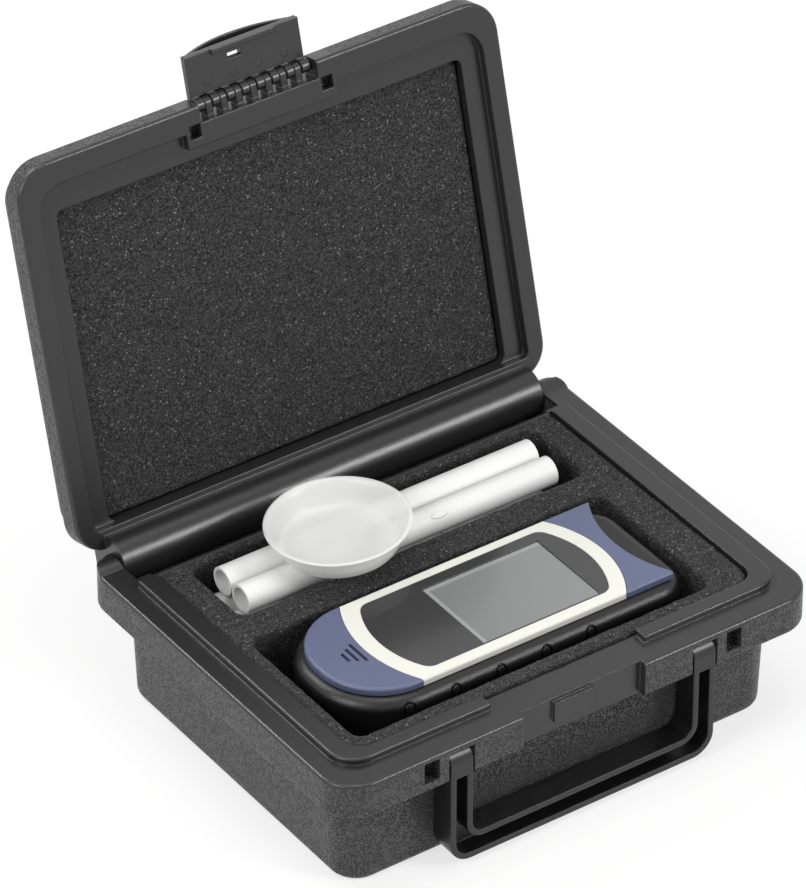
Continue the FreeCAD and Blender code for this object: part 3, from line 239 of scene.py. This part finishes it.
def makeDisplay(name):
    look = displayLook
    material, tree, shader, place = newMaterial(name, Roughness=look["rough"], IOR=look["ior"])
    xyz = addNode(tree, "ShaderNodeSeparateXYZ", {0: place})
    fromLeft = addNode(tree, "ShaderNodeMath", {
        0: xyz.outputs[0], 1: (look["left"] + look["stripWide"]) * mm}, operation="LESS_THAN")
    fromTop = addNode(tree, "ShaderNodeMath", {
        0: xyz.outputs[1], 1: (look["top"] - look["stripWide"]) * mm}, operation="GREATER_THAN")
    strip = addNode(tree, "ShaderNodeMath", {
        0: fromLeft.outputs[0], 1: fromTop.outputs[0]}, operation="MAXIMUM")
    across = addNode(tree, "ShaderNodeMapRange", {
        "Value": xyz.outputs[0], "From Min": look["left"] * mm,
        "From Max": (look["left"] + look["wide"]) * mm})
    tone = addNode(tree, "ShaderNodeMix", {
        0: across.outputs[0], 6: hexColour(look["grey"]), 7: hexColour(look["pale"])}, data_type="RGBA")
    colour = addNode(tree, "ShaderNodeMix", {
        0: strip.outputs[0], 6: tone.outputs[2], 7: hexColour(look["strip"])}, data_type="RGBA")
    tree.links.new(colour.outputs[2], shader.inputs["Base Color"])
    return material


# Plated metal: small cloudy spots that are a little duller than the rest
metalSkin = {"spot": 1.4286, "polish": 0.06, "dull": 0.08}


def makeMetal(name, colour, shade, roughness):
    material, tree, shader, place = newMaterial(name, Metallic=1.0)
    wear = addNode(tree, "ShaderNodeTexNoise", {
        "Vector": place, "Scale": 1 / (metalSkin["spot"] * mm), "Detail": 3.0})
    tone = addNode(tree, "ShaderNodeMix", {
        0: wear.outputs[0], 6: hexColour(colour), 7: hexColour(shade)}, data_type="RGBA")
    tree.links.new(tone.outputs[2], shader.inputs["Base Color"])
    rough = addNode(tree, "ShaderNodeMapRange", {
        "Value": wear.outputs[0], "To Min": roughness - metalSkin["polish"],
        "To Max": roughness + metalSkin["dull"]})
    tree.links.new(rough.outputs[0], shader.inputs["Roughness"])
    return material


baseCase = makeCasePlastic("polypropyleneGrainBase", baseGrainMask)
lidCase = makeCasePlastic("polypropyleneGrainLid", lidGrainMask)
foam = makeFoam("polyetherFoam")
display = makeDisplay("liquidCrystalGlass")
# name, colour, shade, roughness, grit in mm, relief, rounded edge in mm; the note says what the eye gets
satinCase = makeMoulded("polypropyleneSatin", "#242425", "#29292a", 0.26, 0.3, 0.10, 0.6)  # soft sheen
# the handle is the case plastic in a darker colour: painted shade, for facing front and down
handleShadedBlack = makeMoulded("polypropyleneHandleShaded", "#121213", "#171718", 0.33, 0.3, 0.10, 0.8)  # deeper black
blueShell = makeMoulded("absSlateBlue", "#545b76", "#5a617d", 0.44, 0.3, 0.10, 0.5)  # matt slate blue
whiteShell = makeMoulded("absIvory", "#dcdcd4", "#d8d8cf", 0.42, 0.3, 0.06, 0.4)  # warm off-white
blackShell = makeMoulded(  # coarse spark texture that glints
    "absBlackSpark", "#0e0e0f", "#131314", 0.34, 0.55, 1.0, 0.5, Specular_IOR_Level=0.4)
window = makeMoulded("acrylicSmoke", "#383839", "#3b3b3c", 0.12, 1.0, 0.0, 0.2)  # smooth, mirrors the room
tubeWhite = makeMoulded("polystyreneWhite", "#e9e9e8", "#e5e5e4", 0.5, 1.2, 0.03, 0.3)  # plain soft white
cupFrost = makeMoulded(  # milky, with what lies behind just showing
    "polypropyleneFrosted", "#f6f6f5", "#f1f1f0", 0.34, 0.6, 0.06, 0.0, Alpha=0.6)
cellCan = makeMoulded("cellCanLacquer", "#3c4046", "#44484e", 0.3, 0.5, 0.03)  # lacquered sleeve
board = makeMoulded("glassEpoxyBoard", "#1f5a3c", "#246544", 0.4, 0.4, 0.05)  # green solder mask
steel = makeMetal("steelZincPlated", "#b9bcc0", "#a8abb0", 0.32)
nickel = makeMetal("nickelPlated", "#c4bfb2", "#b4afa2", 0.26)
print("materials made:", len(bpy.data.materials))

nodeFinish = {
    "case_base": baseCase, "case_lid": lidCase, "hinge_pins": steel, "handle_pins": steel,
    "latch": satinCase, "latch_pin": steel, "handle": handleShadedBlack, "base_foam": foam, "lid_foam": foam,
    "lower_shell": blackShell, "front_cap": blueShell, "rear_cap": blueShell, "bezel": whiteShell,
    "window_panel": window, "lcd_module": display, "main_board": board, "board_screws": steel,
    "shell_screws": steel, "cover_screws": steel, "battery_cover": blackShell, "batteries": cellCan,
    "battery_contacts": nickel, "fuel_cell": whiteShell, "sampling_pump": satinCase,
    "breath_inlet": blackShell, "speaker": satinCase, "power_button": blueShell, "sampling_cup": cupFrost,
    "mouthpiece_upper_rear": tubeWhite, "mouthpiece_upper_front": tubeWhite,
    "mouthpiece_lower_rear": tubeWhite, "mouthpiece_lower_front": tubeWhite,
}


def setFinish(mesh, finish):
    mesh.materials.clear()
    mesh.materials.append(finish)


for nodeName, nodeLook in nodeFinish.items():
    setFinish(nodes[nodeName].data, nodeLook)
print("finishes set:", len(nodeFinish))


def addObject(name, mesh, finish):
    obj = bpy.data.objects.new(name, mesh)
    bpy.context.scene.collection.objects.link(obj)
    setFinish(mesh, finish)
    return obj


def meshFrom(made, name):
    mesh = bpy.data.meshes.new(name)
    made.to_mesh(mesh)
    made.free()
    return mesh


def plainMesh(obj):
    # the modifiers' result becomes the mesh, and the modifiers go
    graph = bpy.context.evaluated_depsgraph_get()
    mesh = bpy.data.meshes.new_from_object(obj.evaluated_get(graph))
    obj.modifiers.clear()
    obj.data = mesh
    return mesh


def smoothShade(mesh):
    mesh.polygons.foreach_set("use_smooth", [True] * len(mesh.polygons))


def mergedCopy(nodeName):
    made = bmesh.new()
    made.from_mesh(nodes[nodeName].data)
    bmesh.ops.remove_doubles(made, verts=made.verts, dist=weldGap)
    return meshFrom(made, nodeName + "_copy")


# Foam is cut from a block: the edges soften and the faces are a little uneven
foamCut = {
    "voxel": 1.15, "soften": 3, "softenShare": 0.5, "inset": 0.1,
    "uneven": 0.16, "unevenSize": 5.0, "rough": 0.10, "roughSize": 1.6,
}


def cutFoam(obj):
    look = foamCut
    remesh = obj.modifiers.new("cells", "REMESH")
    remesh.mode = "VOXEL"
    remesh.voxel_size = look["voxel"] * mm
    soften = obj.modifiers.new("soften", "SMOOTH")
    soften.factor = look["softenShare"]
    soften.iterations = look["soften"]
    mesh = plainMesh(obj)
    for vert, normal in zip(mesh.vertices, [v.normal.copy() for v in mesh.vertices]):
        slow = noise.noise(vert.co / (look["unevenSize"] * mm))
        quick = noise.noise(vert.co / (look["roughSize"] * mm))
        vert.co += normal * (look["uneven"] * slow + look["rough"] * quick - look["inset"]) * mm
    smoothShade(mesh)
    setFinish(mesh, foam)
    return obj


baseFoam = cutFoam(addObject("foam_base", mergedCopy("base_foam"), foam))
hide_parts("base_foam")
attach(baseFoam, "case")
print("base foam:", len(baseFoam.data.polygons))

# Lid foam: a flat slab, given in the closed lid; the real foam gives way to the cup and tester as the lid
# shuts
lidSlab = {
    "halfWidth": 84.2, "front": -58.7, "rear": 58.0, "face": 59.4, "back": 81.8,
    "corner": 2.6, "cornerSteps": 6, "keep": 0.36,
}


def roundedSlab(look):
    made = bmesh.new()
    corners = []
    radius = look["corner"]
    for signX, signY in ((1, 1), (-1, 1), (-1, -1), (1, -1)):
        centreX = signX * (look["halfWidth"] - radius)
        centreY = look["rear"] - radius if signY > 0 else look["front"] + radius
        start = math.atan2(signY, signX) - math.pi / 4
        for step in range(look["cornerSteps"] + 1):
            turn = start + step * math.pi / (2 * look["cornerSteps"])
            corners.append((centreX + radius * math.cos(turn), centreY + radius * math.sin(turn)))
    ring = [made.verts.new((x * mm, y * mm, look["face"] * mm)) for x, y in corners]
    bottom = made.faces.new(ring)
    pulled = bmesh.ops.extrude_face_region(made, geom=[bottom])
    lifted = [v for v in pulled["geom"] if isinstance(v, bmesh.types.BMVert)]
    bmesh.ops.translate(made, verts=lifted, vec=(0, 0, (look["back"] - look["face"]) * mm))
    bmesh.ops.recalc_face_normals(made, faces=made.faces)
    bmesh.ops.triangulate(made, faces=made.faces)
    return meshFrom(made, "lid_slab")


lidFoam = cutFoam(addObject("foam_lid", roundedSlab(lidSlab), foam))
lidFoam.data.transform(openLid)
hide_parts("lid_foam")
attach(lidFoam, "lid")
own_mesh(lidFoam)
print("lid foam:", len(lidFoam.data.polygons))

# Sampling cup: a turned bowl with a beaded rim, lying tilted on the tubes.
# The profile's points are radius and height.
cup = {
    "place": (-25.5, 29.9, 57.7), "tilt": 4.0, "toward": (-0.819, 0.574), "baseRadius": 21.0,
    "outside": (
        (0, 0), (17.6, 0), (19.4, 0.1), (20.5, 0.5), (21.2, 1.3), (22.3, 3.9), (23.5, 6.7), (24.4, 8.8)),
    "rim": ((24.8, 9.2), (25.6, 9.3), (26.1, 9.7), (26.1, 10.1), (25.6, 10.4), (24.9, 10.35)),
    "inside": (
        (24.2, 9.9), (23.4, 8.7), (22.3, 6.2), (21.0, 3.3), (20.3, 2.2), (19.0, 1.6), (17.0, 1.5), (0, 1.5)),
    "segments": 112, "seam": 0.005,
}


def newTree(name, sockets):
    tree = bpy.data.node_groups.new(name, "GeometryNodeTree")
    for label, kind in sockets:
        tree.interface.new_socket(name=label, in_out="INPUT", socket_type=kind)
    tree.interface.new_socket(name="Mesh", in_out="OUTPUT", socket_type="NodeSocketGeometry")
    return tree, tree.nodes.new("NodeGroupInput").outputs


def closeTree(tree, mesh, finish):
    real = addNode(tree, "GeometryNodeRealizeInstances", {0: mesh})
    done = addNode(tree, "GeometryNodeSetMaterial", {"Geometry": real.outputs[0], "Material": finish})
    tree.links.new(done.outputs[0], tree.nodes.new("NodeGroupOutput").inputs[0])


def runTree(obj, tree, values):
    modifier = obj.modifiers.new(tree.name, "NODES")
    modifier.node_group = tree
    for item in tree.interface.items_tree:
        if item.in_out == "INPUT" and item.name in values:
            modifier[item.identifier] = values[item.name]
    return plainMesh(obj)


def turnedTree():
    # each row of the grid takes one point of the profile, and turns it round the axis
    tree, given = newTree("turnedBowl", (
        ("Profile", "NodeSocketGeometry"), ("Segments", "NodeSocketInt"), ("Points", "NodeSocketInt"),
        ("Seam", "NodeSocketFloat"), ("Finish", "NodeSocketMaterial")))
    across = addNode(tree, "ShaderNodeMath", {0: given["Segments"], 1: 1.0}, operation="ADD")
    grid = addNode(tree, "GeometryNodeMeshGrid", {
        "Size X": 1.0, "Size Y": 1.0, "Vertices X": across.outputs[0], "Vertices Y": given["Points"]})
    place = addNode(tree, "GeometryNodeInputPosition").outputs[0]
    spread = addNode(tree, "ShaderNodeSeparateXYZ", {0: place}).outputs
    turn = addNode(tree, "ShaderNodeMath", {
        0: spread[0], 1: 2 * math.pi, 2: math.pi}, operation="MULTIPLY_ADD")
    last = addNode(tree, "ShaderNodeMath", {0: given["Points"], 1: 1.0}, operation="SUBTRACT")
    row = addNode(tree, "ShaderNodeMath", {0: spread[1], 1: 0.5}, operation="ADD")
    row = addNode(tree, "ShaderNodeMath", {0: row.outputs[0], 1: last.outputs[0]}, operation="MULTIPLY")
    row = addNode(tree, "ShaderNodeMath", {0: row.outputs[0]}, operation="ROUND")
    point = addNode(tree, "GeometryNodeSampleIndex", {
        "Geometry": given["Profile"], "Value": place, "Index": row.outputs[0]}, data_type="FLOAT_VECTOR")
    taken = addNode(tree, "ShaderNodeSeparateXYZ", {0: point.outputs[0]}).outputs
    cosine = addNode(tree, "ShaderNodeMath", {0: turn.outputs[0]}, operation="COSINE")
    sine = addNode(tree, "ShaderNodeMath", {0: turn.outputs[0]}, operation="SINE")
    outX = addNode(tree, "ShaderNodeMath", {0: taken[0], 1: cosine.outputs[0]}, operation="MULTIPLY")
    outY = addNode(tree, "ShaderNodeMath", {0: taken[0], 1: sine.outputs[0]}, operation="MULTIPLY")
    spot = addNode(tree, "ShaderNodeCombineXYZ", {0: outX.outputs[0], 1: outY.outputs[0], 2: taken[2]})
    bent = addNode(tree, "GeometryNodeSetPosition", {"Geometry": grid.outputs[0], "Position": spot.outputs[0]})
    closed = addNode(tree, "GeometryNodeMergeByDistance", {
        "Geometry": bent.outputs[0], "Distance": given["Seam"]})
    closeTree(tree, closed.outputs[0], given["Finish"])
    return tree


def tidyNormals(mesh):
    made = bmesh.new()
    made.from_mesh(mesh)
    bmesh.ops.remove_doubles(made, verts=made.verts, dist=weldGap)
    bmesh.ops.dissolve_degenerate(made, edges=made.edges, dist=weldGap)
    bmesh.ops.recalc_face_normals(made, faces=made.faces)
    made.to_mesh(mesh)
    made.free()


def makeCup():
    points = [Vector((r, 0, z)) * mm for r, z in cup["outside"] + cup["rim"] + cup["inside"]]
    profile = bpy.data.meshes.new("cup_profile")
    profile.from_pydata(points, [(i, i + 1) for i in range(len(points) - 1)], [])
    obj = addObject("cup_bowl", profile, cupFrost)
    mesh = runTree(obj, turnedTree(), {
        "Segments": cup["segments"], "Points": len(points), "Seam": cup["seam"] * mm, "Finish": cupFrost})
    tidyNormals(mesh)
    axis = Vector((-cup["toward"][1], cup["toward"][0], 0))
    lift = Vector((0, 0, cup["baseRadius"] * math.radians(cup["tilt"])))
    spot = (Vector(cup["place"]) + lift) * mm
    mesh.transform(Matrix.Translation(spot) @ Matrix.Rotation(math.radians(cup["tilt"]), 4, axis))
    smoothShade(mesh)
    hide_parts("sampling_cup")
    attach(obj, "cup")
    print("cup:", len(mesh.polygons))


makeCup()

# Latch plate: a row of round marks left by the mould's ejector pins
ejectorMarks = {
    "count": 4, "pitch": 10.6, "radius": 1.6, "height": 0.14, "sides": 28,
    "face": -78.0, "below": 6.6, "axisY": -77.0, "axisZ": 58.7,
}


def marksTree():
    tree, given = newTree("ejectorMarks", (
        ("Profile", "NodeSocketGeometry"), ("Count", "NodeSocketInt"), ("Start", "NodeSocketVector"),
        ("Step", "NodeSocketVector"), ("Radius", "NodeSocketFloat"), ("Height", "NodeSocketFloat"),
        ("Sides", "NodeSocketInt"), ("Finish", "NodeSocketMaterial")))
    line = addNode(tree, "GeometryNodeMeshLine", {
        "Count": given["Count"], "Start Location": given["Start"], "Offset": given["Step"]})
    disc = addNode(tree, "GeometryNodeMeshCylinder", {
        "Vertices": given["Sides"], "Radius": given["Radius"], "Depth": given["Height"]})
    spread = addNode(tree, "GeometryNodeInstanceOnPoints", {
        "Points": line.outputs[0], "Instance": disc.outputs[0], "Rotation": (math.pi / 2, 0, 0)})
    closeTree(tree, spread.outputs[0], given["Finish"])
    return tree


def makeEjectorMarks():
    look = ejectorMarks
    obj = addObject("latch_marks", bpy.data.meshes.new("latch_marks"), satinCase)
    firstX = -look["pitch"] * (look["count"] - 1) / 2
    start = Vector((firstX, look["face"], look["axisZ"] - look["below"])) * mm
    mesh = runTree(obj, marksTree(), {
        "Count": look["count"], "Start": start, "Step": (look["pitch"] * mm, 0, 0), "Sides": look["sides"],
        "Radius": look["radius"] * mm, "Height": look["height"] * mm, "Finish": satinCase})
    pivot = Vector((0, look["axisY"], look["axisZ"])) * mm
    raised = Matrix.Translation(pivot) @ Matrix.Rotation(-math.pi / 2, 4, "X") @ Matrix.Translation(-pivot)
    mesh.transform(openLid @ raised)
    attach(obj, "latch")
    print("ejector marks:", len(mesh.polygons))


makeEjectorMarks()

# Mouthpiece tubes: an oval pad on an upper tube and a gate pip on a lower one, left from moulding
tubeMarks = {
    "mouthpiece_pad": {
        "body": "upper_tubes", "x": 15.3, "axisY": 31.3, "axisZ": 52.0, "radius": 5.4, "angle": 132.0,
        "half": (3.7, 1.25, 0.42)},
    "mouthpiece_pip": {
        "body": "lower_tubes", "x": 17.9, "axisY": 31.3, "axisZ": 40.9, "radius": 5.4, "angle": 112.0,
        "half": (1.0, 0.9, 0.75)},
}
# a flat top with a rounded edge, its foot sunk in the tube
tubeMarkForm = {"around": 32, "rings": 16, "foot": -0.6, "flat": 0.62}


def makeTubeMark(name, look):
    form = tubeMarkForm
    made = bmesh.new()
    bmesh.ops.create_uvsphere(made, u_segments=form["around"], v_segments=form["rings"], radius=1.0)
    for vert in made.verts:
        flat = max(form["foot"], min(form["flat"], vert.co.z))
        vert.co = Vector((
            vert.co.x * look["half"][0], vert.co.y * look["half"][1], flat * look["half"][2])) * mm
    mesh = meshFrom(made, name)
    turn = math.radians(look["angle"])
    spot = Vector((
        look["x"],
        look["axisY"] + look["radius"] * math.cos(turn),
        look["axisZ"] + look["radius"] * math.sin(turn))) * mm
    mesh.transform(Matrix.Translation(spot) @ Matrix.Rotation(turn - math.pi / 2, 4, "X"))
    smoothShade(mesh)
    obj = addObject(name, mesh, tubeWhite)
    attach(obj, look["body"])


for markName, markLook in tubeMarks.items():
    makeTubeMark(markName, markLook)
print("tube marks:", len(tubeMarks))

# Floor, light and camera
floorLook = {"half": 3.0, "colour": "#f6f6f5", "whiten": 0.7, "rough": 0.9, "specular": 0.1}


def seenRays(tree):
    # 1 where the eye, a gloss or a clear piece meets the studio, 0 where the studio only lights
    rays = addNode(tree, "ShaderNodeLightPath").outputs
    seen = addNode(tree, "ShaderNodeMath", {
        0: rays["Is Camera Ray"], 1: rays["Is Glossy Ray"]}, operation="ADD")
    every = addNode(tree, "ShaderNodeMath", {
        0: seen.outputs[0], 1: rays["Is Transmission Ray"]}, operation="ADD", use_clamp=True)
    return every.outputs[0]


def makeFloor():
    look = floorLook
    made = bmesh.new()
    bmesh.ops.create_grid(made, x_segments=1, y_segments=1, size=look["half"])
    material, tree, shader, place = newMaterial(
        "paperWhite", Roughness=look["rough"], Specular_IOR_Level=look["specular"])
    shader.inputs["Base Color"].default_value = hexColour(look["colour"])
    share = addNode(tree, "ShaderNodeMath", {0: seenRays(tree), 1: look["whiten"]}, operation="MULTIPLY")
    glow = addNode(tree, "ShaderNodeEmission", {"Color": (1, 1, 1, 1), "Strength": 1.0})
    mix = addNode(tree, "ShaderNodeMixShader", {0: share.outputs[0], 1: shader.outputs[0], 2: glow.outputs[0]})
    tree.links.new(mix.outputs[0], tree.nodes["Material Output"].inputs["Surface"])
    addObject("floor", meshFrom(made, "floor"), material)


makeFloor()

# each lamp: name, place in metres, size in metres, power in watts
studio = {"world": 0.40, "aim": (0, 0, 0.06), "lamps": (
    ("key", (0.85, -1.25, 1.0), 0.6, 14.0),
    ("left", (-1.3, -0.2, 1.1), 0.8, 12.0),
    ("top", (0.1, 0.0, 1.9), 0.9, 8.5),
    ("back", (-0.4, 1.15, 1.35), 0.7, 13.0),
)}


def makeStudio():
    world = bpy.data.worlds.new("studioWhite")
    world.use_nodes = True
    bpy.context.scene.world = world
    tree = world.node_tree
    shade = tree.nodes["Background"]
    shade.inputs["Color"].default_value = (1, 1, 1, 1)
    level = addNode(tree, "ShaderNodeMapRange", {
        "Value": seenRays(tree), "To Min": studio["world"], "To Max": 1.0})
    tree.links.new(level.outputs[0], shade.inputs["Strength"])
    for name, place, size, power in studio["lamps"]:
        lamp = bpy.data.lights.new(name, "AREA")
        lamp.shape = "DISK"
        lamp.size = size
        lamp.energy = power
        obj = bpy.data.objects.new(name, lamp)
        obj.location = place
        obj.rotation_euler = (Vector(studio["aim"]) - obj.location).to_track_quat("-Z", "Y").to_euler()
        bpy.context.scene.collection.objects.link(obj)


makeStudio()

photoView = {
    "place": (-1115.308, -1564.412, 1499.305), "look": (0.46471, 0.66360, -0.58623),
    "focalPixels": 6950.5, "imageHeight": 888, "sensor": 36.0, "farthest": 50.0,
}


def makeCamera():
    data = bpy.data.cameras.new("photoCamera")
    data.sensor_fit = "VERTICAL"
    data.sensor_height = photoView["sensor"]
    data.lens = photoView["focalPixels"] / photoView["imageHeight"] * photoView["sensor"]
    data.clip_end = photoView["farthest"]
    camera = bpy.data.objects.new("photoCamera", data)
    camera.location = Vector(photoView["place"]) * mm
    camera.rotation_euler = Vector(photoView["look"]).to_track_quat("-Z", "Y").to_euler()
    bpy.context.scene.collection.objects.link(camera)
    bpy.context.scene.camera = camera


makeCamera()
bpy.context.scene.view_settings.view_transform = "Standard"
print("stage, light and camera set")
